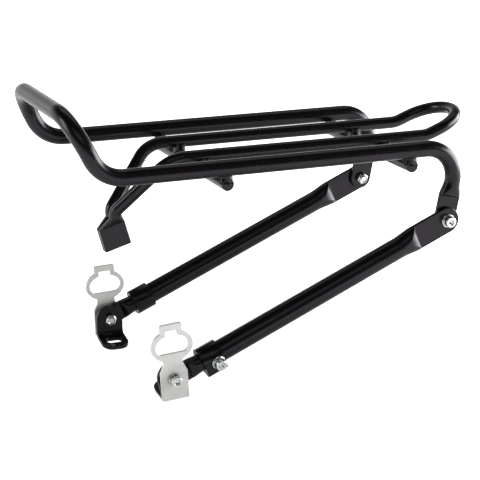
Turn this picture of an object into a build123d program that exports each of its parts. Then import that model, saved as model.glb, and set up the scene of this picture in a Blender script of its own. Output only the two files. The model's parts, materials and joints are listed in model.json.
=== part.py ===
"""Bicycle rear rack with telescoping struts, clamp collars, foot brackets and axle plates.

Frame: the origin is the centre of the flat front fixing tongue. +X runs along the
platform rails to the rear, +Y to the rider's right and +Z up. Everything is in millimetres.
"""

import os
from math import atan2, cos, hypot, radians, sin, sqrt, tan

from build123d import *

# ---- Outer rail: one bent tube, hoop at the front, flattened tab at each rear end ----
RAIL_R = 6.1
RAIL_WALL = 1.5
RAIL_Y = 70.0
RAIL_Z = 61.5
HOOP_FOOT_X = -31.3  # where the rail line meets the line of the hoop's upright
HOOP_RISE = 42.4
HOOP_LEAN = 26.0  # degrees forward of upright
HOOP_FOOT_BEND = 26.0
HOOP_TOP_BEND = 30.0
REAR_CORNER_X = 248.4
REAR_BEND = 23.0
TAB_W = 17.2
TAB_T = 3.0
TAB_CREASE = 17.5  # pivot hole to the crease where the tube starts
TAB_ROUND = 28.0

# ---- Inner rail: one bent solid rod, hairpin at the rear, flattened tongue at the front ----
ROD_R = 4.7
INNER_Y = 25.8
INNER_Z = 60.7
LOOP_FOOT_X = 245.0
LOOP_REACH = 37.0
LOOP_SLOPE = 21.0
LOOP_FOOT_BEND = 24.0
LEG_TOP_X = 36.0
LEG_BEND = 25.0
KNEE_RISE = 9.6  # from the flat's upper edge to the corner of each leg's lower bend
KNEE_SHIFT = 4.2  # that corner's distance behind the tongue's middle line
KNEE_Y = 4.4
KNEE_BEND = 7.0
TONGUE_TILT = 16.0
TONGUE_W = 20.8
TONGUE_T = 4.0
TONGUE_GAP = 0.2  # hairline between the two flattened ends
TONGUE_LENGTH = 17.6

# ---- Cross bars under the rails ----
BAR_R = 4.7
BAR_Z = 49.3
BAR_HALF_LENGTH = 71.0
FRONT_BAR_X = 61.7
REAR_BAR_X = 208.7

# ---- Strut, stay and the line they share on each side ----
PIVOT = Vector(237.6, 0, 6.0)
FOOT = Vector(18.0, 0, -88.5)
STRUT_Y = 73.4
STRUT_R = 8.0
STRUT_BORE_R = 6.75
STRUT_FLAT_W = 19.4
STRUT_FLAT_T = 3.2
STRUT_CREASE = 26.4
STRUT_ROUND = 44.0
STRUT_END_TO_FOOT = 22.9
STAY_R = 6.6
STAY_WALL = 1.3
STAY_LENGTH = 150.0
STAY_FLAT_W = 15.0
STAY_FLAT_T = 3.0
STAY_CREASE = 12.5
STAY_ROUND = 22.5

# ---- Clamp collar: a band with a squared outer corner that carries a radial screw ----
COLLAR_LENGTH = 15.7
COLLAR_R = 10.0
COLLAR_PAD = 10.2  # strut axis to the flat pad under the screw's washer
COLLAR_PAD_TOP = 2.0
COLLAR_PAD_BOTTOM = 9.7
COLLAR_CORNER = 3.2
CLAMP_TILT = 12.0  # degrees the clamp screw points below horizontal
CLAMP_FROM_END = 10.2

# ---- Foot bracket, axle plate ----
BRACKET_T = 3.0
BRACKET_HALF_W = 10.6
BRACKET_DROP = 8.8  # bolt hole to the start of the bend
BRACKET_BEND_R = 4.0
FLANGE_LENGTH = 17.2
FLANGE_FALL = {"left": -10.0, "right": 12.0}  # how far each flange falls below square to its plate
BRACKET_TURN = {"left": -15.0, "right": 0.0}  # resting turn of each bracket about +Y
FLANGE_CORNER = 8.0
SLOT_TO_TIP = 9.6
SLOT_LENGTH = 13.0
SLOT_W = 7.0
PLATE_T = 2.5
PLATE_HALF_W = 10.3
PLATE_BELOW = 15.0
PLATE_SHOULDER = 5.9
NECK_HALF_W = 7.1
NECK_Z = 12.5
RING_Z = 26.0
RING_A = 15.8
RING_B = 12.2
EYE_A = 12.6
EYE_B = 8.3
EYE_FLOOR = 20.3
KEY_OUTER_HALF_W = 8.3
KEY_OUTER_TOP = 42.4
KEY_INNER_HALF_W = 4.6
KEY_INNER_TOP = 37.5
OUTLINE_CORNER = 1.2
PLATE_LEAN = {"left": -4.0, "right": -2.5}  # resting turn of each plate about +Y

# ---- Fasteners ----
GAP = 0.25  # between flat faces that turn on each other
M5_R = 2.5
M5_HOLE_R = 2.56
M5_HEAD_R = 4.25
M5_HEAD_H = 5.0
M5_KEY = 4.0
M5_NUT = 8.0
M5_NUT_T = 3.6
M5_COLLAR_T = 1.4
M5_TIP = 0.3
M5_WASHER_R = 5.0
M5_WASHER_T = 1.0

# Distances outward from the centre plane, from the bracket's inner face to the plate's outer one.
TAB_INNER = RAIL_Y - TAB_T / 2
STRUT_FLAT_OUTER = STRUT_Y + STRUT_FLAT_T / 2
BRACKET_OUTER = STRUT_Y - STAY_FLAT_T / 2 - GAP
BRACKET_INNER = BRACKET_OUTER - BRACKET_T
PLATE_INNER = STRUT_Y + STAY_FLAT_T / 2 + GAP
PLATE_OUTER = PLATE_INNER + PLATE_T

SIDES = {"left": -1, "right": 1}
SLOPE = atan2(PIVOT.Z - FOOT.Z, PIVOT.X - FOOT.X)
DOWN_STRUT = Vector(-cos(SLOPE), 0, -sin(SLOPE))
UNDER_STRUT = Vector(sin(SLOPE), 0, -cos(SLOPE))
FOOT_LINE = hypot(PIVOT.X - FOOT.X, PIVOT.Z - FOOT.Z)
STRUT_END = FOOT_LINE - STRUT_END_TO_FOOT

os.makedirs("parts", exist_ok=True)


def save(part, label):
    part.label = label
    export_step(part, f"parts/{label}.step")


def outward(distance, side):
    return Vector(0, side * distance, 0)


def on_strut(distance, side):
    """Point on a strut's axis, measured down from its pivot."""
    return PIVOT + DOWN_STRUT * distance + outward(STRUT_Y, side)


def squeezed_end(root, along, radius, width, thickness, taper):
    """Taper from a round bar at root to a section flat across Y; it falls away like an ellipse."""
    with BuildPart() as end:
        for share in (0.0, 0.45, 0.8, 1.0):
            deep = thickness + (2 * radius - thickness) * sqrt(1 - share**2)
            wide = 2 * radius + (width - 2 * radius) * share
            corner = min(deep, wide) * (0.4975 - 0.1975 * share**4)
            with BuildSketch(Plane(origin=root + along * taper * share, x_dir=(0, 1, 0), z_dir=along)):
                RectangleRounded(deep, wide, corner)
        loft()
    return end.part


def flat_lug(hole, toward, length, width, thickness, hole_radius):
    """A plate across Y, round about its hole and square where it meets the taper."""
    with BuildPart() as lug:
        with BuildSketch(Plane(origin=hole, x_dir=toward, z_dir=(0, 1, 0))):
            with Locations((length / 2, 0)):
                Rectangle(length, width)
            Circle(width / 2)
        extrude(amount=thickness / 2, both=True)
        arcs = lug.edges().filter_by(GeomType.CIRCLE)
        chamfer(arcs, length=0.4)
        with BuildSketch(Plane(origin=hole, z_dir=(0, 1, 0))):
            Circle(hole_radius)
        extrude(amount=thickness, both=True, mode=Mode.SUBTRACT)
    return lug.part


# ---- Outer rail tube ----
upright = Vector(-sin(radians(HOOP_LEAN)), 0, cos(radians(HOOP_LEAN)))
up_tab = (Vector(REAR_CORNER_X, 0, RAIL_Z) - PIVOT).normalized()
half_rail = [
    PIVOT + up_tab * TAB_ROUND,
    Vector(REAR_CORNER_X, 0, RAIL_Z),
    Vector(HOOP_FOOT_X, 0, RAIL_Z),
    Vector(HOOP_FOOT_X, 0, RAIL_Z) + upright * (HOOP_RISE / upright.Z),
]
rail_points = [point + outward(RAIL_Y, -1) for point in half_rail]
rail_points += [point + outward(RAIL_Y, 1) for point in reversed(half_rail)]
rail_bends = [REAR_BEND, HOOP_FOOT_BEND, HOOP_TOP_BEND]
tapers = []
for side in SIDES.values():
    root = PIVOT + up_tab * TAB_ROUND + outward(RAIL_Y, side)
    tapers.append(squeezed_end(root, -up_tab, RAIL_R, TAB_W, TAB_T, TAB_ROUND - TAB_CREASE))
    tapers.append(flat_lug(PIVOT + outward(RAIL_Y, side), up_tab, TAB_CREASE + 0.2, TAB_W,
                           TAB_T, M5_HOLE_R))

with BuildPart() as outer_rail_tube:
    with BuildLine() as rail_line:
        FilletPolyline(*rail_points, radius=rail_bends + rail_bends[::-1])
    with BuildSketch(Plane(origin=rail_line.line @ 0, z_dir=rail_line.line % 0)):
        Circle(RAIL_R)
        Circle(RAIL_R - RAIL_WALL, mode=Mode.SUBTRACT)
    sweep(path=rail_line.line)
    add(tapers)
save(outer_rail_tube.part, "outer_rail_tube")

# ---- Inner rail rod: the right half, mirrored ----
loop_rise = Vector(cos(radians(LOOP_SLOPE)), 0, sin(radians(LOOP_SLOPE)))
loop_foot = Vector(LOOP_FOOT_X, INNER_Y, INNER_Z)
loop_corner = loop_foot + loop_rise * LOOP_REACH
tongue_down = Vector(sin(radians(TONGUE_TILT)), 0, -cos(radians(TONGUE_TILT)))
layer_y = (TONGUE_T + TONGUE_GAP) / 2
tongue_back = Vector(-tongue_down.Z, 0, tongue_down.X)
flat_top = Plane(origin=outward(layer_y, 1) - tongue_down * (TONGUE_LENGTH / 2), x_dir=(0, 1, 0),
                 z_dir=tongue_down)
leg_top = Vector(LEG_TOP_X, INNER_Y, INNER_Z)
knee = (outward(KNEE_Y, 1) + tongue_back * KNEE_SHIFT
        - tongue_down * (TONGUE_LENGTH / 2 + KNEE_RISE))
half_turn = tongue_down.get_angle(knee - leg_top) / 2
leg_end = knee + tongue_down * (KNEE_BEND * tan(radians(half_turn)) + 0.1)
rod_points = [leg_end, knee, leg_top, loop_foot, loop_corner, Vector(loop_corner.X, 0, loop_corner.Z)]

with BuildPart() as inner_rail_rod:
    with BuildLine() as rod_line:
        FilletPolyline(*rod_points, radius=[KNEE_BEND, LEG_BEND, LOOP_FOOT_BEND, INNER_Y - 0.2])
    with BuildSketch(Plane(origin=rod_line.line @ 0, z_dir=rod_line.line % 0)):
        Circle(ROD_R)
    sweep(path=rod_line.line)
    with BuildSketch(Plane(origin=leg_end - tongue_down * 0.4, x_dir=(0, 1, 0), z_dir=tongue_down)):
        RectangleRounded(2 * ROD_R + 0.12, 2 * ROD_R + 0.12, ROD_R - 0.2)
    with BuildSketch(flat_top):
        RectangleRounded(TONGUE_T, TONGUE_W, 1.2)
    loft(ruled=True)
    with BuildSketch(flat_top):
        RectangleRounded(TONGUE_T, TONGUE_W, 1.2)
    extrude(amount=TONGUE_LENGTH)
    split(bisect_by=Plane(origin=(0, TONGUE_GAP / 4, 0), z_dir=(0, 1, 0)), keep=Keep.TOP)
    with BuildSketch(Plane(origin=rod_line.line @ 1, z_dir=(0, -1, 0))):
        Circle(ROD_R)
    extrude(amount=TONGUE_GAP, both=True)
    mirror(about=Plane.XZ)
save(inner_rail_rod.part, "inner_rail_rod")

# ---- Cross bars and the weld beads that hold them under the rails ----
for place, bar_x in (("front", FRONT_BAR_X), ("rear", REAR_BAR_X)):
    with BuildPart() as crossbar:
        with BuildSketch(Plane.XZ):
            with Locations((bar_x, BAR_Z)):
                Circle(BAR_R)
        extrude(amount=BAR_HALF_LENGTH, both=True)
        chamfer(crossbar.edges().filter_by(GeomType.CIRCLE), length=0.5)
    save(crossbar.part, f"{place}_crossbar")

    # Each bead is a necked lump that reaches into the bar and into the rail above it.
    with BuildPart() as welds:
        for rail_y, rail_z, rail_r in ((RAIL_Y, RAIL_Z, RAIL_R), (INNER_Y, INNER_Z, ROD_R)):
            for side in SIDES.values():
                waist_z = (BAR_Z + BAR_R + rail_z - rail_r) / 2
                levels = ((BAR_Z + 0.1 * BAR_R, 5.6, 6.2), (waist_z, 4.2, 4.4), (rail_z - 0.3 * rail_r, 6.0, 5.8))
                for level_z, half_x, half_y in levels:
                    with BuildSketch(Plane.XY.offset(level_z)):
                        with Locations((bar_x, side * rail_y)):
                            Ellipse(half_x, half_y)
                loft()
        add(crossbar.part, mode=Mode.SUBTRACT)
        for rail_y, rail_z, rail_r in ((RAIL_Y, RAIL_Z, RAIL_R), (INNER_Y, INNER_Z, ROD_R)):
            with BuildSketch(Plane.YZ.offset(bar_x)):
                with Locations((-rail_y, rail_z), (rail_y, rail_z)):
                    Circle(rail_r)
            extrude(amount=2 * BAR_R, both=True, mode=Mode.SUBTRACT)
        split(bisect_by=Plane(origin=(bar_x, -BAR_HALF_LENGTH - 1, 0), z_dir=(0, 1, 0)), keep=Keep.TOP)
        split(bisect_by=Plane(origin=(bar_x, BAR_HALF_LENGTH + 1, 0), z_dir=(0, -1, 0)), keep=Keep.TOP)
    save(welds.part, f"{place}_weld_beads")


# ---- Fasteners ----
def socket_screw(shank, seat, out):
    """Cap screw: the underside of its head is at seat, facing inward, and its shank runs inward."""
    under_head = Plane(origin=seat, z_dir=out)
    with BuildPart() as screw:
        with BuildSketch(under_head):
            Circle(M5_HEAD_R)
        extrude(amount=M5_HEAD_H)
        with BuildSketch(under_head):
            Circle(M5_R)
        extrude(amount=-shank)
        rims = screw.edges().filter_by(GeomType.CIRCLE).sort_by(Axis(origin=seat, direction=out))
        chamfer([rims[0], rims[-1]], length=0.6)
        with BuildSketch(under_head.offset(M5_HEAD_H)):
            RegularPolygon(radius=M5_KEY / 2, side_count=6, major_radius=False)
        extrude(amount=-0.55 * M5_HEAD_H, mode=Mode.SUBTRACT)
    return screw.part


def flat_washer(seat, out):
    """Washer whose inner face is at seat."""
    with BuildPart() as washer:
        with BuildSketch(Plane(origin=seat, z_dir=out)):
            Circle(M5_WASHER_R)
            Circle(M5_R, mode=Mode.SUBTRACT)
        extrude(amount=M5_WASHER_T)
        chamfer(washer.edges().filter_by(GeomType.CIRCLE).group_by(SortBy.RADIUS)[-1], length=0.15)
    return washer.part


def lock_nut(seat, side):
    """Hexagon nut, its flat face at seat, with a round locking collar on the inward side."""
    inward = Plane(origin=seat, x_dir=(1, 0, 0), z_dir=(0, -side, 0))
    with BuildPart() as nut:
        with BuildSketch(inward):
            RegularPolygon(radius=M5_NUT / 2, side_count=6, major_radius=False)
            Circle(M5_NUT / 2 * 1.08, mode=Mode.INTERSECT)
        extrude(amount=M5_NUT_T)
        with BuildSketch(inward.offset(M5_NUT_T)):
            Circle(M5_NUT / 2 * 0.91)
        extrude(amount=M5_COLLAR_T)
        rim = nut.faces().sort_by(Axis(origin=(0, 0, 0), direction=(0, -side, 0)))[-1].edges()
        chamfer(rim, length=0.4)
        with BuildSketch(inward):
            Circle(M5_R)
        extrude(amount=M5_NUT_T + M5_COLLAR_T, mode=Mode.SUBTRACT)
    return nut.part


for name, side in SIDES.items():
    # Pivot screw, washer and nut, fixed in the rail's tab.
    out = outward(1, side)
    seat = STRUT_FLAT_OUTER + GAP
    save(flat_washer(PIVOT + out * seat, out), f"{name}_pivot_washer")
    shank = seat + M5_WASHER_T - TAB_INNER + M5_NUT_T + M5_COLLAR_T + M5_TIP
    save(socket_screw(shank, PIVOT + out * (seat + M5_WASHER_T), out), f"{name}_pivot_screw")
    save(lock_nut(PIVOT + out * TAB_INNER, side), f"{name}_pivot_nut")

    # Foot screw, washer and nut, fixed in the stay's flattened end.
    seat = PLATE_OUTER + GAP
    save(flat_washer(FOOT + out * seat, out), f"{name}_foot_washer")
    shank = seat + M5_WASHER_T - BRACKET_INNER + GAP + M5_NUT_T + M5_COLLAR_T + M5_TIP
    save(socket_screw(shank, FOOT + out * (seat + M5_WASHER_T), out), f"{name}_foot_screw")
    save(lock_nut(FOOT + out * (BRACKET_INNER - GAP), side), f"{name}_foot_nut")

    # Strut: a tube squeezed flat at its upper end, with a hole for the clamp screw lower down.
    across = outward(cos(radians(CLAMP_TILT)), side) + UNDER_STRUT * sin(radians(CLAMP_TILT))
    clamp_axis = Plane(origin=on_strut(STRUT_END - CLAMP_FROM_END, side), z_dir=across)
    strut_taper = squeezed_end(on_strut(STRUT_ROUND, side), -DOWN_STRUT, STRUT_R, STRUT_FLAT_W,
                               STRUT_FLAT_T, STRUT_ROUND - STRUT_CREASE)
    strut_lug = flat_lug(on_strut(0, side), DOWN_STRUT, STRUT_CREASE + 0.2, STRUT_FLAT_W,
                         STRUT_FLAT_T, M5_HOLE_R)
    with BuildPart() as strut:
        with BuildSketch(Plane(origin=on_strut(STRUT_ROUND, side), z_dir=DOWN_STRUT)):
            Circle(STRUT_R)
        extrude(amount=STRUT_END - STRUT_ROUND)
        add([strut_taper, strut_lug])
        with BuildSketch(Plane(origin=on_strut(STRUT_END, side), z_dir=-DOWN_STRUT)):
            Circle(STRUT_BORE_R)
        extrude(amount=STRUT_END - STRUT_ROUND - 5, mode=Mode.SUBTRACT)
        with BuildSketch(clamp_axis):
            Circle(M5_HOLE_R)
        extrude(amount=2 * STRUT_R, mode=Mode.SUBTRACT)
    save(strut.part, f"{name}_strut_tube")

    # Stay: the tube that slides in the strut, squeezed flat about the foot screw.
    stay_taper = squeezed_end(on_strut(FOOT_LINE - STAY_ROUND, side), DOWN_STRUT, STAY_R, STAY_FLAT_W,
                              STAY_FLAT_T, STAY_ROUND - STAY_CREASE)
    stay_lug = flat_lug(on_strut(FOOT_LINE, side), -DOWN_STRUT, STAY_CREASE + 0.2, STAY_FLAT_W,
                        STAY_FLAT_T, M5_HOLE_R)
    with BuildPart() as stay:
        with BuildSketch(Plane(origin=on_strut(FOOT_LINE - STAY_ROUND, side), z_dir=-DOWN_STRUT)):
            Circle(STAY_R)
        extrude(amount=STAY_LENGTH - STAY_ROUND)
        add([stay_taper, stay_lug])
        with BuildSketch(Plane(origin=on_strut(FOOT_LINE - STAY_LENGTH, side), z_dir=DOWN_STRUT)):
            Circle(STAY_R - STAY_WALL)
        extrude(amount=STAY_LENGTH - STAY_ROUND - 5, mode=Mode.SUBTRACT)
    save(stay.part, f"{name}_stay_tube")

    # Clamp collar round the strut's end, and the screw that passes through it and the strut.
    collar_plane = Plane(origin=on_strut(STRUT_END - COLLAR_LENGTH, side), x_dir=across, z_dir=DOWN_STRUT)
    low = 1 if collar_plane.y_dir.dot(UNDER_STRUT) > 0 else -1
    with BuildPart() as collar:
        with BuildSketch(collar_plane):
            with Locations((COLLAR_PAD / 2, low * (COLLAR_PAD_BOTTOM - COLLAR_PAD_TOP) / 2)):
                Rectangle(COLLAR_PAD, COLLAR_PAD_BOTTOM + COLLAR_PAD_TOP)
            Circle(COLLAR_R)
        extrude(amount=COLLAR_LENGTH)
        corner = collar_plane.from_local_coords(Vector(COLLAR_PAD, low * COLLAR_PAD_BOTTOM, COLLAR_LENGTH / 2))
        fillet(collar.edges().sort_by_distance(corner)[0], radius=COLLAR_CORNER)
        with BuildSketch(collar_plane):
            Circle(STRUT_R)
        extrude(amount=COLLAR_LENGTH, mode=Mode.SUBTRACT)
        with BuildSketch(clamp_axis):
            Circle(M5_R)
        extrude(amount=2 * COLLAR_R, mode=Mode.SUBTRACT)
    save(collar.part, f"{name}_clamp_collar")

    pad = clamp_axis.origin + across * COLLAR_PAD
    save(flat_washer(pad, across), f"{name}_clamp_washer")
    shank = COLLAR_PAD + M5_WASHER_T - STAY_R - GAP
    save(socket_screw(shank, pad + across * M5_WASHER_T, across), f"{name}_clamp_screw")

    # Foot bracket: a round-topped plate folded inward into a slotted flange.
    turn = radians(BRACKET_TURN[name])
    width_dir = Vector(cos(turn), 0, -sin(turn))
    profile = Plane(origin=FOOT + outward(BRACKET_OUTER, side), x_dir=(0, -side, 0), z_dir=width_dir * -side)
    fold_r = BRACKET_BEND_R + BRACKET_T / 2
    with BuildPart() as bracket:
        with BuildLine(profile) as fold:
            Line((BRACKET_T / 2, BRACKET_HALF_W), (BRACKET_T / 2, -BRACKET_DROP))
            CenterArc((BRACKET_T / 2 + fold_r, -BRACKET_DROP), fold_r, 180, 90 - FLANGE_FALL[name])
            Line(fold.line @ 1, fold.line @ 1 + (fold.line % 1) * FLANGE_LENGTH)
        with BuildSketch(Plane(origin=fold.line @ 0, x_dir=width_dir, z_dir=fold.line % 0)):
            Rectangle(2 * BRACKET_HALF_W, BRACKET_T)
        sweep(path=fold.line)
        with BuildSketch(Plane(origin=FOOT, x_dir=width_dir, z_dir=(0, -1, 0))):
            Circle(BRACKET_HALF_W)
            with Locations((0, -2 * BRACKET_HALF_W)):
                Rectangle(2 * BRACKET_HALF_W, 4 * BRACKET_HALF_W)
        extrude(amount=2 * STRUT_Y, both=True, mode=Mode.INTERSECT)
        tip = bracket.faces().sort_by(Axis(origin=fold.line @ 1, direction=fold.line % 1))[-1]
        fillet(tip.edges().filter_by(lambda edge: edge.length < BRACKET_T + 0.1), radius=FLANGE_CORNER)
        with BuildSketch(Plane(origin=FOOT, z_dir=(0, 1, 0))):
            Circle(M5_HOLE_R)
        extrude(amount=2 * STRUT_Y, both=True, mode=Mode.SUBTRACT)
        slot_centre = fold.line @ 1 - (fold.line % 1) * SLOT_TO_TIP
        with BuildSketch(Plane(origin=slot_centre, x_dir=width_dir, z_dir=(fold.line % 1).cross(width_dir))):
            SlotOverall(SLOT_LENGTH, SLOT_W)
        extrude(amount=BRACKET_T, both=True, mode=Mode.SUBTRACT)
    save(bracket.part, f"{name}_foot_bracket")

    # Axle plate: a stem with shoulders, an oval ring and a key notch in the ring's top.
    lean = radians(PLATE_LEAN[name])
    plate_plane = Plane(origin=FOOT + outward(PLATE_OUTER, side), x_dir=(cos(lean), 0, -sin(lean)),
                        z_dir=(0, -1, 0))
    with BuildPart() as plate:
        with BuildSketch(plate_plane) as outline:
            with Locations((0, (PLATE_SHOULDER - PLATE_BELOW) / 2)):
                Rectangle(2 * PLATE_HALF_W, PLATE_SHOULDER + PLATE_BELOW)
            Polygon((-PLATE_HALF_W, PLATE_SHOULDER), (-NECK_HALF_W, NECK_Z), (-NECK_HALF_W, RING_Z),
                    (NECK_HALF_W, RING_Z), (NECK_HALF_W, NECK_Z), (PLATE_HALF_W, PLATE_SHOULDER), align=None)
            with Locations((0, RING_Z)):
                Ellipse(RING_A, RING_B)
            with Locations((0, (RING_Z + KEY_OUTER_TOP) / 2)):
                Rectangle(2 * KEY_OUTER_HALF_W, KEY_OUTER_TOP - RING_Z)
            fillet(outline.vertices(), radius=OUTLINE_CORNER)
        extrude(amount=PLATE_T * side)
        with BuildSketch(plate_plane):
            with Locations((0, RING_Z)):
                Ellipse(EYE_A, EYE_B)
            with Locations((0, EYE_FLOOR - RING_B)):
                Rectangle(2 * RING_A, 2 * RING_B, mode=Mode.SUBTRACT)
            with Locations((0, (RING_Z + KEY_INNER_TOP) / 2)):
                Rectangle(2 * KEY_INNER_HALF_W, KEY_INNER_TOP - RING_Z)
            Circle(M5_HOLE_R)
        extrude(amount=PLATE_T * side, mode=Mode.SUBTRACT)
    save(plate.part, f"{name}_axle_plate")
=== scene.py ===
"""Looks of the bicycle rear rack: paint, bare metal, threaded fasteners, weld beads and studio.

Blender works in metres, in the frame of the CAD part. MM turns the sizes below into metres.
"""

import json
from math import asin, cos, pi, radians, sin, tau

import bmesh
import bpy
from mathutils import Matrix, Vector, noise


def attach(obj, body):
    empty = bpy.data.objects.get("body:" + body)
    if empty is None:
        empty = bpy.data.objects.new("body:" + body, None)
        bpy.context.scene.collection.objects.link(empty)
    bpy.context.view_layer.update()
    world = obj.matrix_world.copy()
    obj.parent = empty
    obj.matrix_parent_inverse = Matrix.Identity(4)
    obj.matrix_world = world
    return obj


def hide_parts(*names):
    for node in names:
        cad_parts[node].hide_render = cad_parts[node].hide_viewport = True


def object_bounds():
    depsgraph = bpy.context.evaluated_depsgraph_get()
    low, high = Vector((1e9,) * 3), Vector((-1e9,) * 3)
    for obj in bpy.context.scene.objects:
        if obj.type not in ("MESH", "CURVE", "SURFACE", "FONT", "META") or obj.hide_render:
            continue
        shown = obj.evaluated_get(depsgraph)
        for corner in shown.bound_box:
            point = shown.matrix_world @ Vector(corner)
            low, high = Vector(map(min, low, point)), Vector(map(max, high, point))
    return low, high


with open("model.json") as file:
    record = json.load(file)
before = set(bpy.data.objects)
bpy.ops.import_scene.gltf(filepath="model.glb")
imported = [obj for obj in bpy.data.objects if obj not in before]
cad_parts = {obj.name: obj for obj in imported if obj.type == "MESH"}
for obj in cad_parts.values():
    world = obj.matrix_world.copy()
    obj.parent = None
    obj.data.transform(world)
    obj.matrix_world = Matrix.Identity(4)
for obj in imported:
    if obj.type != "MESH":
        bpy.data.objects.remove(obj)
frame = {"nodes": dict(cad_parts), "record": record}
cad_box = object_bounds()
nodes = frame["nodes"]

MM = 0.001
SIDES = {"left": Vector((0, -1, 0)), "right": Vector((0, 1, 0))}

# ---- Camera ----
CAMERA_AZIMUTH = radians(22.815)
CAMERA_ELEVATION = radians(16.094)
CAMERA_ROLL = radians(0.183)
CAMERA_DISTANCE = 1262.9 * MM
CAMERA_LENS = 124.43
CAMERA_AIM = Vector((100.7, 0.0, -14.3)) * MM

# ---- Fasteners ----
HEAD_H = 5.0 * MM
HEAD_R = 4.25 * MM
HEAD_CHAMFER = 0.55 * MM
KNURLS = 32
KNURL_DEPTH = 0.16 * MM
KNURL_START = 0.45 * MM  # plain rims under and over the ribs
HEAD_UNDERCUT = 0.25 * MM
KEY_AF = 4.0 * MM
KEY_MOUTH_R = 2.34 * MM  # the countersunk mouth of the hexagon socket
KEY_DEPTH = 2.6 * MM
KEY_DRILL_R = 0.6 * MM
SHANK_R = 2.5 * MM
THREAD_PITCH = 0.8 * MM
THREAD_DEPTH = 0.36 * MM
THREAD_LENGTH = 9.0 * MM
TIP_CHAMFER = 0.8 * MM
TIP_SLOPE = 0.7
NUT_AF = 8.0 * MM
NUT_HEX_H = 3.6 * MM
NUT_CROWN_R = 3.65 * MM
NUT_CORNER_R = NUT_AF / 2 * 1.125
NUT_CHAMFER_SLOPE = 0.577
NUT_MOUTH = 0.35 * MM
CROWN_EDGE = 0.25 * MM
CLAMP_TILT = radians(12)  # the clamp screw's head leans this far down from level
AROUND = 96  # vertices around a turned piece

# ---- Broken edges of the sheet metal parts ----
BROKEN_EDGES = {"axle_plate": 0.30 * MM, "foot_bracket": 0.45 * MM, "clamp_collar": 0.35 * MM}

# ---- Weld beads ----
BEAD_ROWS = 30
BEAD_AROUND = 60
BEAD_RIPPLES = 15
RIPPLE_DEPTH = 0.22 * MM
BEAD_WAIST = 0.74  # share of the width left halfway up
BEAD_FLARE = 1.6
BEAD_LUMP = 0.5 * MM


# ---- Mesh helpers ----
def mesh_object(name, mesh, body, material):
    """A named piece from bmesh data, smooth except at its sharp edges, riding on a CAD body."""
    bmesh.ops.recalc_face_normals(mesh, faces=mesh.faces)
    data = bpy.data.meshes.new(name)
    mesh.to_mesh(data)
    mesh.free()
    for face in data.polygons:
        face.use_smooth = True
    data.set_sharp_from_angle(angle=radians(32))
    piece = bpy.data.objects.new(name, data)
    bpy.context.scene.collection.objects.link(piece)
    data.materials.append(material)
    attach(piece, body)
    return piece


def skin(mesh, rings, cap_first=True, cap_last=True):
    """Joins rings of points with quads; a cap is a fan about the ring's middle."""
    rows = [[mesh.verts.new(point) for point in ring] for ring in rings]
    count = len(rows[0])
    for lower, upper in zip(rows, rows[1:]):
        for i in range(count):
            j = (i + 1) % count
            mesh.faces.new((lower[i], lower[j], upper[j], upper[i]))
    for wanted, row in ((cap_first, rows[0]), (cap_last, rows[-1])):
        if wanted:
            middle = mesh.verts.new(sum((v.co for v in row), Vector()) / count)
            for i in range(count):
                mesh.faces.new((row[i], row[(i + 1) % count], middle))


def turned(place, height, radius_at):
    """One ring about place's Z axis; radius_at gives the radius for an angle."""
    angles = [tau * i / AROUND for i in range(AROUND)]
    return [place @ Vector((radius_at(a) * cos(a), radius_at(a) * sin(a), height)) for a in angles]


def hexagon(across_flats):
    """Radius of a hexagon for an angle."""
    return lambda a: across_flats / 2 / cos((a + pi / 6) % (pi / 3) - pi / 6)


def along(node, direction):
    """Lowest and highest distance of a CAD node's points along a direction."""
    reach = [v.co.dot(direction) for v in nodes[node].data.vertices]
    return min(reach), max(reach)


def axis_place(node, out, distance):
    """A frame whose Z axis is a round CAD node's axis, pointing out, at that distance along it."""
    side = out.orthogonal().normalized()
    across = out.cross(side)
    origin = out * distance
    for direction in (side, across):
        origin += direction * (sum(along(node, direction)) / 2)
    return Matrix.Translation(origin) @ Matrix((side, across, out)).transposed().to_4x4()


# ---- Node material helpers ----
def add(tree, kind, inputs=None, **settings):
    """A node whose inputs are values, or outputs of other nodes to link."""
    made = tree.nodes.new(kind)
    for key, value in settings.items():
        setattr(made, key, value)
    for key, value in (inputs or {}).items():
        if isinstance(value, bpy.types.NodeSocket):
            tree.links.new(value, made.inputs[key])
        else:
            made.inputs[key].default_value = value
    return made


def ramp(tree, source, stops):
    """Colour for a value: stops are (position, grey or colour)."""
    made = add(tree, "ShaderNodeValToRGB", {"Fac": source})
    while len(made.color_ramp.elements) < len(stops):
        made.color_ramp.elements.new(0.5)
    for element, (position, colour) in zip(made.color_ramp.elements, stops):
        element.position = position
        element.color = (*((colour,) * 3 if isinstance(colour, (int, float)) else colour), 1)
    return made.outputs["Color"]


def mottle(tree, where, per_mm, detail=3.0, rough=0.55):
    """Noise with features of about 1 / per_mm millimetres."""
    values = {"Vector": where, "Scale": per_mm / MM, "Detail": detail, "Roughness": rough}
    return add(tree, "ShaderNodeTexNoise", values).outputs["Fac"]


def maths(tree, operation, first, second=0.0):
    return add(tree, "ShaderNodeMath", {0: first, 1: second}, operation=operation).outputs[0]


def spread(tree, value, low, high, to_low=0.0, to_high=1.0):
    """Maps low..high to to_low..to_high, held at the ends."""
    values = {"Value": value, "From Min": low, "From Max": high, "To Min": to_low, "To Max": to_high}
    return add(tree, "ShaderNodeMapRange", values, clamp=True).outputs["Result"]


def blend_colour(tree, factor, first, second):
    values = {"Fac": factor, "Color1": first, "Color2": second}
    return add(tree, "ShaderNodeMixRGB", values).outputs["Color"]


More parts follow.
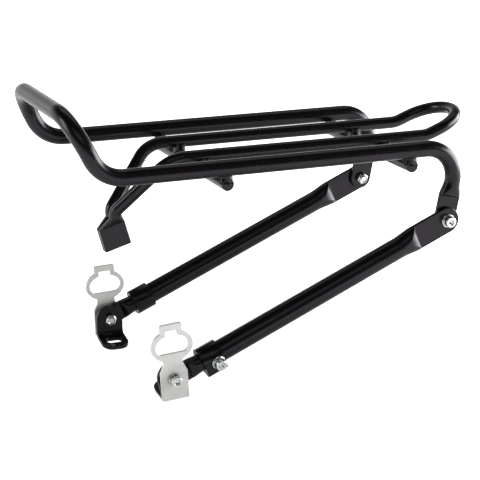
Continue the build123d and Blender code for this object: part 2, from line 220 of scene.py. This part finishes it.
def edge_mask(tree, radius):
    """Where a surface turns sharply within a radius: 1 on an edge, 0 on a flat or a smooth curve."""
    rounded = add(tree, "ShaderNodeBevel", {"Radius": radius}, samples=6).outputs["Normal"]
    plain = add(tree, "ShaderNodeNewGeometry").outputs["Normal"]
    turn = add(tree, "ShaderNodeVectorMath", {0: rounded, 1: plain}, operation="DOT_PRODUCT")
    return spread(tree, turn.outputs["Value"], 0.96, 0.80)


def bumps(tree, layers):
    """Stacks bump layers of (height, depth in metres)."""
    below = {}
    for height, depth in layers:
        values = {"Height": height, "Distance": depth, "Strength": 1.0, **below}
        below = {"Normal": add(tree, "ShaderNodeBump", values).outputs["Normal"]}
    return below["Normal"]


def new_material(name):
    material = bpy.data.materials.new(name)
    material.use_nodes = True
    tree = material.node_tree
    tree.nodes.clear()
    where = add(tree, "ShaderNodeTexCoord").outputs["Object"]
    return material, tree, where


def finish_material(tree, inputs, **uniform):
    """Principled surface: linked inputs, and values that are the same all over."""
    shader = add(tree, "ShaderNodeBsdfPrincipled", {**inputs, **uniform})
    add(tree, "ShaderNodeOutputMaterial", {"Surface": shader.outputs["BSDF"]})


def paint(name, scuffs=None):
    """Semi-gloss black paint with orange peel, handling marks and rubbed edges.

    scuffs is the slope of a tube that slides: fine marks run along it.
    """
    material, tree, where = new_material(name)
    cloud = mottle(tree, where, 0.06)
    smear = mottle(tree, where, 0.35, detail=5.0, rough=0.65)
    colour = ramp(tree, cloud, [(0.3, (0.0024, 0.0018, 0.0022)), (0.7, (0.0042, 0.0033, 0.0038))])
    worn = maths(tree, "MULTIPLY", edge_mask(tree, 0.35 * MM), spread(tree, smear, 0.42, 0.62))
    colour = blend_colour(tree, maths(tree, "MULTIPLY", worn, 0.55), colour, (0.055, 0.052, 0.050, 1))
    roughness = spread(tree, smear, 0.3, 0.75, 0.20, 0.30)
    roughness = maths(tree, "ADD", roughness, maths(tree, "MULTIPLY", worn, 0.12))
    layers = [(mottle(tree, where, 0.5, detail=1.0), 0.006 * MM), (mottle(tree, where, 3.0), 0.0007 * MM)]
    if scuffs is not None:
        level = add(tree, "ShaderNodeMapping", {"Vector": where, "Rotation": (0, scuffs, 0)}).outputs[0]
        stretched = add(tree, "ShaderNodeMapping", {"Vector": level, "Scale": (0.03, 1, 1)}).outputs[0]
        lines = mottle(tree, stretched, 2.6, detail=4.0, rough=0.7)
        marks = spread(tree, lines, 0.60, 0.68)
        colour = blend_colour(tree, maths(tree, "MULTIPLY", marks, 0.35), colour, (0.045, 0.043, 0.042, 1))
        roughness = maths(tree, "ADD", roughness, maths(tree, "MULTIPLY", marks, 0.16))
        layers.append((lines, 0.001 * MM))
    inputs = {"Base Color": colour, "Roughness": roughness, "Normal": bumps(tree, layers)}
    finish_material(tree, inputs, **{"IOR": 1.43, "Specular Tint": (0.95, 0.90, 1.0, 1)})
    return material


def zinc():
    """Bright zinc plating: cool and slightly uneven, with shade painted dark into its hollows."""
    material, tree, where = new_material("zinc_plate")
    tone = mottle(tree, where, 0.5, detail=4.0)
    grain = mottle(tree, where, 4.0, detail=5.0, rough=0.7)
    tones = [(0.30, (0.74, 0.79, 0.77)), (0.52, (0.84, 0.88, 0.85)), (0.75, (0.90, 0.90, 0.86))]
    colour = ramp(tree, tone, tones)
    # painted shade: the colour goes dark where ambient occlusion finds a hollow, as around washers and in
    # sockets
    hollow_shade = add(tree, "ShaderNodeAmbientOcclusion", {"Distance": 1.6 * MM}, samples=8).outputs["AO"]
    colour = blend_colour(tree, spread(tree, hollow_shade, 0.75, 0.25), colour, (0.05, 0.055, 0.055, 1))
    # painted highlight: the colour is lit up towards white along sharp edges
    edge_highlight = edge_mask(tree, 0.18 * MM)
    colour = blend_colour(tree, maths(tree, "MULTIPLY", edge_highlight, 0.5), colour, (0.95, 0.96, 0.94, 1))
    roughness = spread(tree, grain, 0.3, 0.7, 0.12, 0.26)
    normal = bumps(tree, [(grain, 0.001 * MM), (tone, 0.006 * MM)])
    finish_material(tree, {"Base Color": colour, "Roughness": roughness, "Normal": normal}, Metallic=1.0)
    return material


def stamped_steel():
    """Tumbled sheet steel: matte and pale, with rolling grain, small nicks and a painted highlight along
    its edges.
    """
    material, tree, where = new_material("stamped_steel")
    tone = mottle(tree, where, 0.12, detail=5.0)
    grain = mottle(tree, where, 7.0, detail=4.0, rough=0.7)
    upright = add(tree, "ShaderNodeMapping", {"Vector": where, "Scale": (1, 1, 0.06)}).outputs[0]
    rolled = mottle(tree, upright, 3.2, detail=4.0, rough=0.7)
    nicks = spread(tree, mottle(tree, where, 1.6, detail=6.0, rough=0.8), 0.66, 0.74)
    colour = ramp(tree, tone, [(0.3, (0.80, 0.80, 0.78)), (0.7, (0.89, 0.89, 0.87))])
    colour = blend_colour(tree, maths(tree, "MULTIPLY", nicks, 0.5), colour, (0.60, 0.60, 0.59, 1))
    # painted highlight: the colour is lit up along sharp edges
    colour = blend_colour(tree, maths(tree, "MULTIPLY", edge_mask(tree, 0.3 * MM), 0.5), colour,
                          (0.92, 0.92, 0.91, 1))
    roughness = spread(tree, rolled, 0.25, 0.75, 0.42, 0.60)
    layers = [(rolled, 0.003 * MM), (grain, 0.002 * MM), (nicks, -0.01 * MM)]
    inputs = {"Base Color": colour, "Roughness": roughness, "Normal": bumps(tree, layers)}
    finish_material(tree, inputs, Metallic=0.75)
    return material


# ---- Where the struts run ----
pivot_at = axis_place("left_pivot_screw", SIDES["left"], 0).translation
foot_at = axis_place("left_foot_screw", SIDES["left"], 0).translation
down_strut = (foot_at - pivot_at).normalized()
strut_slope = asin(-down_strut.z)

BLACK = paint("black_paint_coat")
BLACK_SLIDING = paint("black_paint_scuffed", scuffs=-strut_slope)
ZINC = zinc()
STEEL = stamped_steel()
COATS = {"black_paint": BLACK, "zinc": ZINC, "plate_metal": STEEL}


# ---- CAD nodes that are shown: finish, and softly broken edges on what is cut from sheet ----
def soften(piece, width):
    """Rounds a CAD node's sharp edges without touching its own mesh."""
    piece.modifiers.new("join", "WELD").merge_threshold = 0.002 * MM
    flats = piece.modifiers.new("flats", "DECIMATE")
    flats.decimate_type = "DISSOLVE"
    flats.angle_limit = radians(0.6)
    broken = piece.modifiers.new("edges", "BEVEL")
    broken.width = width
    broken.segments = 3
    broken.limit_method = "ANGLE"
    broken.angle_limit = radians(40)
    broken.harden_normals = True


for member in frame["record"]["subparts"]:
    node = nodes[member["node"]]
    coat = COATS[member["material_slot"]]
    if member["node"].endswith("stay_tube"):
        coat = BLACK_SLIDING
    node.data.materials.clear()
    node.data.materials.append(coat)
for side in SIDES:
    for part_name, width in BROKEN_EDGES.items():
        soften(nodes[f"{side}_{part_name}"], width)


# ---- Screws ----
def thread_radius(height, tip):
    """Radius of a helical thread at a height, for an angle; chamfered at the tip, faded at its end."""
    fade = min(1.0, (tip + THREAD_LENGTH - height) / THREAD_PITCH)
    crest = SHANK_R - max(0.0, TIP_CHAMFER - (height - tip)) * TIP_SLOPE

    def at(angle):
        turn = (height / THREAD_PITCH - angle / tau) % 1.0
        groove = 1 - abs(2 * turn - 1)
        return min(crest, SHANK_R - THREAD_DEPTH * max(0.0, fade) * min(1.0, 1.25 * groove))

    return at


def knurled(angle):
    """Radius of a head with rounded ribs."""
    return HEAD_R - KNURL_DEPTH * (0.5 - 0.5 * cos(KNURLS * angle)) ** 0.7


def screw(node, body, out):
    top = along(node, out)[1]
    place = axis_place(node, out, top - HEAD_H)
    tip = along(node, out)[0] - (top - HEAD_H)
    steps = int(THREAD_LENGTH / THREAD_PITCH * 6)
    heights = [tip + THREAD_LENGTH * i / steps for i in range(steps + 1)]
    rings = [turned(place, h, thread_radius(h, tip)) for h in heights]
    rings.append(turned(place, -0.4 * MM, lambda a: SHANK_R))
    rings.append(turned(place, 0, lambda a: SHANK_R + HEAD_UNDERCUT))
    rings.append(turned(place, 0, lambda a: HEAD_R - 0.35 * MM))
    rings.append(turned(place, HEAD_UNDERCUT, lambda a: HEAD_R - KNURL_DEPTH))
    for height in (KNURL_START, HEAD_H - HEAD_CHAMFER - HEAD_UNDERCUT):
        rings.append(turned(place, height, knurled))
    rings.append(turned(place, HEAD_H - HEAD_CHAMFER, lambda a: HEAD_R - KNURL_DEPTH))
    for i in range(1, 5):  # rounded shoulder
        turn = radians(90) * i / 4
        radius = HEAD_R - KNURL_DEPTH - HEAD_CHAMFER * (1 - cos(turn))
        rings.append(turned(place, HEAD_H - HEAD_CHAMFER * (1 - sin(turn)), lambda a, r=radius: r))
    key = hexagon(KEY_AF)
    rings.append(turned(place, HEAD_H, lambda a: KEY_MOUTH_R + 0.12 * MM))
    rings.append(turned(place, HEAD_H - 0.14 * MM, lambda a: min(KEY_MOUTH_R, key(a) + 0.06 * MM)))
    rings.append(turned(place, HEAD_H - 0.30 * MM, key))
    rings.append(turned(place, HEAD_H - KEY_DEPTH, key))
    rings.append(turned(place, HEAD_H - KEY_DEPTH - 0.5 * MM, lambda a: KEY_DRILL_R))
    mesh = bmesh.new()
    skin(mesh, rings)
    piece = mesh_object(f"{node}_detail", mesh, body, ZINC)
    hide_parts(node)


# ---- Lock nuts: chamfered hexagon, rolled crown and a plain bore ----
def nut(node, body, inward):
    seat, top = along(node, inward)
    place = axis_place(node, inward, seat)
    height = top - seat
    flat = NUT_AF / 2
    hexagonal = hexagon(NUT_AF)

    def chamfered(edge_height, sign):
        """Ring of the hexagon's outline, its corners pulled in by a 30 degree cone."""
        ring = []
        for i in range(AROUND):
            a = tau * i / AROUND
            radius = min(hexagonal(a), NUT_CORNER_R)
            drop = max(0.0, radius - flat * 0.98) * NUT_CHAMFER_SLOPE * sign
            ring.append(place @ Vector((radius * cos(a), radius * sin(a), edge_height - drop)))
        return ring

    bore = SHANK_R + 0.05 * MM
    crown_top = height - CROWN_EDGE
    rings = [
        turned(place, NUT_MOUTH, lambda a: bore),
        turned(place, 0, lambda a: bore + NUT_MOUTH),
        turned(place, 0, lambda a: flat * 0.97),
        chamfered(0.06 * MM, -1),
        chamfered(NUT_HEX_H, 1),
        turned(place, NUT_HEX_H, lambda a: NUT_CROWN_R + 0.15 * MM),
        turned(place, NUT_HEX_H + 0.12 * MM, lambda a: NUT_CROWN_R),
        turned(place, crown_top - CROWN_EDGE, lambda a: NUT_CROWN_R),
        turned(place, crown_top, lambda a: NUT_CROWN_R - 0.12 * MM),
        turned(place, height - 0.04 * MM, lambda a: NUT_CROWN_R - 0.40 * MM),
        turned(place, height, lambda a: NUT_CROWN_R - 0.62 * MM),
        turned(place, height - 0.18 * MM, lambda a: bore + 0.10 * MM),
        turned(place, height - 0.45 * MM, lambda a: bore),
        turned(place, NUT_MOUTH, lambda a: bore),
    ]
    mesh = bmesh.new()
    skin(mesh, rings, cap_first=False, cap_last=False)
    bmesh.ops.remove_doubles(mesh, verts=mesh.verts, dist=0.0005 * MM)
    piece = mesh_object(f"{node}_detail", mesh, body, ZINC)
    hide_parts(node)


under_strut = Vector((-down_strut.z, 0, down_strut.x))
for side, out in SIDES.items():
    screw(f"{side}_pivot_screw", "rack", out)
    nut(f"{side}_pivot_nut", "rack", -out)
    screw(f"{side}_foot_screw", f"{side}_stay", out)
    nut(f"{side}_foot_nut", f"{side}_stay", -out)
    screw(f"{side}_clamp_screw", f"{side}_strut", out * cos(CLAMP_TILT) + under_strut * sin(CLAMP_TILT))


# ---- Weld beads: a rippled neck at each crossing of a bar and a rail ----
def lumps(node):
    """Boxes of a CAD node's separate lumps across the rack."""
    points = sorted((v.co.copy() for v in nodes[node].data.vertices), key=lambda p: p.y)
    groups = [[points[0]]]
    for point in points[1:]:
        if point.y - groups[-1][-1].y > 5 * MM:
            groups.append([])
        groups[-1].append(point)
    return [
        [Vector([pick(p[i] for p in group) for i in range(3)]) for pick in (min, max)]
        for group in groups
    ]


def bead(mesh, low, high, seed):
    middle, half = (low + high) / 2, (high - low) / 2
    rings = []
    for row in range(BEAD_ROWS + 1):
        rise = row / BEAD_ROWS
        flare = abs(2 * rise - 1) ** BEAD_FLARE
        squeeze = BEAD_WAIST + (1 - BEAD_WAIST) * flare
        ring = []
        for i in range(BEAD_AROUND):
            angle = tau * i / BEAD_AROUND
            ripple = sin(BEAD_RIPPLES * angle + 5 * abs(rise - 0.5) + seed) * RIPPLE_DEPTH * flare
            lump = noise.noise(Vector((cos(angle), sin(angle), 3 * rise + seed))) * BEAD_LUMP
            swell = ripple + lump
            ring.append(Vector((
                middle.x + (half.x * squeeze + swell) * cos(angle),
                middle.y + (half.y * squeeze + swell) * sin(angle),
                low.z + (high.z - low.z) * rise,
            )))
        rings.append(ring)
    skin(mesh, rings)


for place_name in ("front", "rear"):
    mesh = bmesh.new()
    for seed, (low, high) in enumerate(lumps(f"{place_name}_weld_beads")):
        bead(mesh, low, high, seed * 1.7)
    beads = mesh_object(f"{place_name}_weld_beads_detail", mesh, "rack", BLACK)
    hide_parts(f"{place_name}_weld_beads")


# ---- Floor ----
low_corner, high_corner = (Vector(corner) for corner in cad_box)
centre = (low_corner + high_corner) / 2
FLOOR_SIZE = 12.0
FLOOR_DROP = 0.4 * MM
FLOOR_GLOW = 0.8  # light the floor gives to the rack from outside its own shade
FLOOR_WHITE = 0.75  # added for the camera, so that the floor looks white
SHADE_INNER, SHADE_OUTER = 0.08, 0.30


def pale_floor():
    """White to look at. It glows softly on the rack, except from a painted shade right under it, where the
    glow is held back.
    """
    material, tree, where = new_material("pale_floor")
    tone = mottle(tree, where, 0.004)
    colour = ramp(tree, tone, [(0.3, 0.80), (0.7, 0.84)])
    seen = add(tree, "ShaderNodeLightPath").outputs["Is Camera Ray"]
    away = add(tree, "ShaderNodeVectorMath", {0: where}, operation="LENGTH").outputs["Value"]
    # painted shade: the glow fades out towards the middle of the floor, right under the rack
    glow = spread(tree, away, SHADE_INNER, SHADE_OUTER, 0.0, FLOOR_GLOW)
    glow = maths(tree, "ADD", glow, maths(tree, "MULTIPLY", seen, FLOOR_WHITE))
    inputs = {"Base Color": colour, "Emission Strength": glow}
    uniform = {"Roughness": 0.9, "Emission Color": (1, 1, 1, 1), "Specular IOR Level": 0.1}
    finish_material(tree, inputs, **uniform)
    return material


floor_mesh = bmesh.new()
bmesh.ops.create_grid(floor_mesh, x_segments=8, y_segments=8, size=FLOOR_SIZE / 2)
floor_data = bpy.data.meshes.new("floor")
floor_mesh.to_mesh(floor_data)
floor_mesh.free()
floor_data.materials.append(pale_floor())
stage_floor = bpy.data.objects.new("floor", floor_data)
bpy.context.scene.collection.objects.link(stage_floor)
stage_floor.location = (centre.x, centre.y, low_corner.z - FLOOR_DROP)


# ---- Lights ----
def softbox(name, azimuth, elevation, distance, size, radiance):
    """A rectangle of light that faces the rack; azimuth 0 is in front of it, +90 on its right."""
    light = bpy.data.lights.new(name, "AREA")
    light.shape = "RECTANGLE"
    light.size, light.size_y = size
    light.energy = radiance * pi * size[0] * size[1]
    lamp = bpy.data.objects.new(name, light)
    bpy.context.scene.collection.objects.link(lamp)
    a, e = radians(azimuth), radians(elevation)
    toward = Vector((sin(a) * cos(e), -cos(a) * cos(e), sin(e)))
    lamp.location = centre + toward * distance
    lamp.rotation_euler = (-toward).to_track_quat("-Z", "Y").to_euler()


for name, azimuth, elevation, distance, size, radiance in (
    ("right_softbox", 80, 6, 1.6, (1.7, 1.0), 9.5),
    ("left_softbox", -100, 16, 1.6, (0.5, 0.9), 5.0),
    ("top_softbox", 150, 62, 1.8, (1.6, 0.8), 0.7),
    ("front_fill", -20, 40, 2.0, (1.6, 0.8), 0.6),
):
    softbox(name, azimuth, elevation, distance, size, radiance)

ROOM_DARK, WALL_BRIGHT = 0.05, 1.3
world = bpy.data.worlds.new("studio")
bpy.context.scene.world = world
world.use_nodes = True
sky = world.node_tree
sky.nodes.clear()
toward = add(sky, "ShaderNodeSeparateXYZ", {0: add(sky, "ShaderNodeTexCoord").outputs["Generated"]})
behind = spread(sky, toward.outputs["Y"], 0.1, 0.8)
near_horizon = spread(sky, maths(sky, "ABSOLUTE", toward.outputs["Z"]), 0.55, 0.15)
wall = maths(sky, "MULTIPLY", behind, near_horizon)
strength = spread(sky, wall, 0.0, 1.0, ROOM_DARK, WALL_BRIGHT)
room = add(sky, "ShaderNodeBackground", {"Color": (1, 1, 1, 1), "Strength": strength})
plain = add(sky, "ShaderNodeBackground", {"Color": (1, 1, 1, 1), "Strength": 1.0})
looked_at = add(sky, "ShaderNodeLightPath").outputs["Is Camera Ray"]
both = add(sky, "ShaderNodeMixShader", {0: looked_at, 1: room.outputs[0], 2: plain.outputs[0]})
add(sky, "ShaderNodeOutputWorld", {"Surface": both.outputs[0]})

# ---- Camera ----
view = Vector((
    sin(CAMERA_AZIMUTH) * cos(CAMERA_ELEVATION),
    cos(CAMERA_AZIMUTH) * cos(CAMERA_ELEVATION),
    -sin(CAMERA_ELEVATION),
))
camera_data = bpy.data.cameras.new("camera")
camera_data.lens = CAMERA_LENS
camera_data.sensor_width = 36.0
camera_data.clip_end = 50.0
camera = bpy.data.objects.new("camera", camera_data)
bpy.context.scene.collection.objects.link(camera)
camera.location = CAMERA_AIM - view * CAMERA_DISTANCE
level = view.to_track_quat("-Z", "Y").to_matrix()
camera.rotation_euler = (level @ Matrix.Rotation(CAMERA_ROLL, 3, "Z")).to_euler()
bpy.context.scene.camera = camera

bpy.context.scene.view_settings.view_transform = "Standard"
